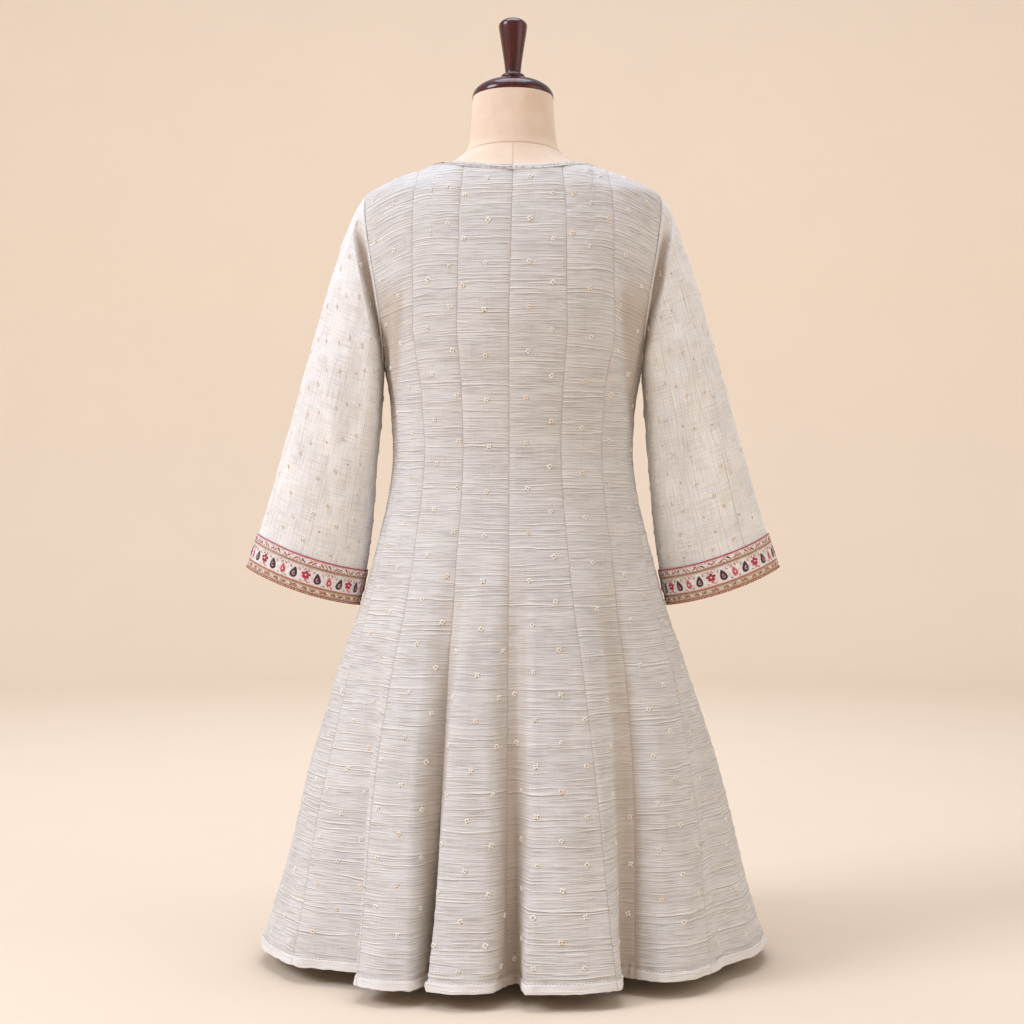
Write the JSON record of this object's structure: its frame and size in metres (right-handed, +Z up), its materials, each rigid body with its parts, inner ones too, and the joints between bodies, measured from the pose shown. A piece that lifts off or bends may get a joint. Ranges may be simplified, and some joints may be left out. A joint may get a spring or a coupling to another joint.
{
  "type": "panelled kurta on a dress form",
  "caption": "Long panelled A-line kurta with three-quarter sleeves and embroidered cuffs, worn by a limbless dress form on a low round stand.",
  "frame": {"origin": "on the floor, under the middle of the part's box", "axes": "+Z up; -Y is the kurta's back, which has the centre-back seam, and +Y its front; +X is the right-hand side seen from the back"},
  "size_m": [0.6916, 0.557, 1.2163],
  "materials": {
    "slub_cloth": "off-white slubbed cotton and silk cloth with raised cross threads",
    "embroidered_border": "band embroidered with pink and plum flowers, edged with beads",
    "form_jersey": "cream jersey stretched over the form",
    "varnished_wood": "dark red-brown turned wood under glossy varnish",
    "dark_metal": "dark brown powder-coated steel"
  },
  "bodies": {
    "root": {"back_centre_right": "slub_cloth", "back_mid_right": "slub_cloth", "back_outer_right": "slub_cloth", "back_side_right": "slub_cloth", "front_side_right": "slub_cloth", "front_outer_right": "slub_cloth", "front_mid_right": "slub_cloth", "front_centre_right": "slub_cloth", "front_centre_left": "slub_cloth", "front_mid_left": "slub_cloth", "front_outer_left": "slub_cloth", "front_side_left": "slub_cloth", "back_side_left": "slub_cloth", "back_outer_left": "slub_cloth", "back_mid_left": "slub_cloth", "back_centre_left": "slub_cloth", "sleeve_right": "slub_cloth", "sleeve_left": "slub_cloth", "border_right": "embroidered_border", "border_left": "embroidered_border", "neck_binding": "slub_cloth", "form_torso": "form_jersey", "neck_cap": "varnished_wood", "cap_handle": "varnished_wood", "stand_pole": "dark_metal", "stand_base": "dark_metal"}
  },
  "joints": []
}
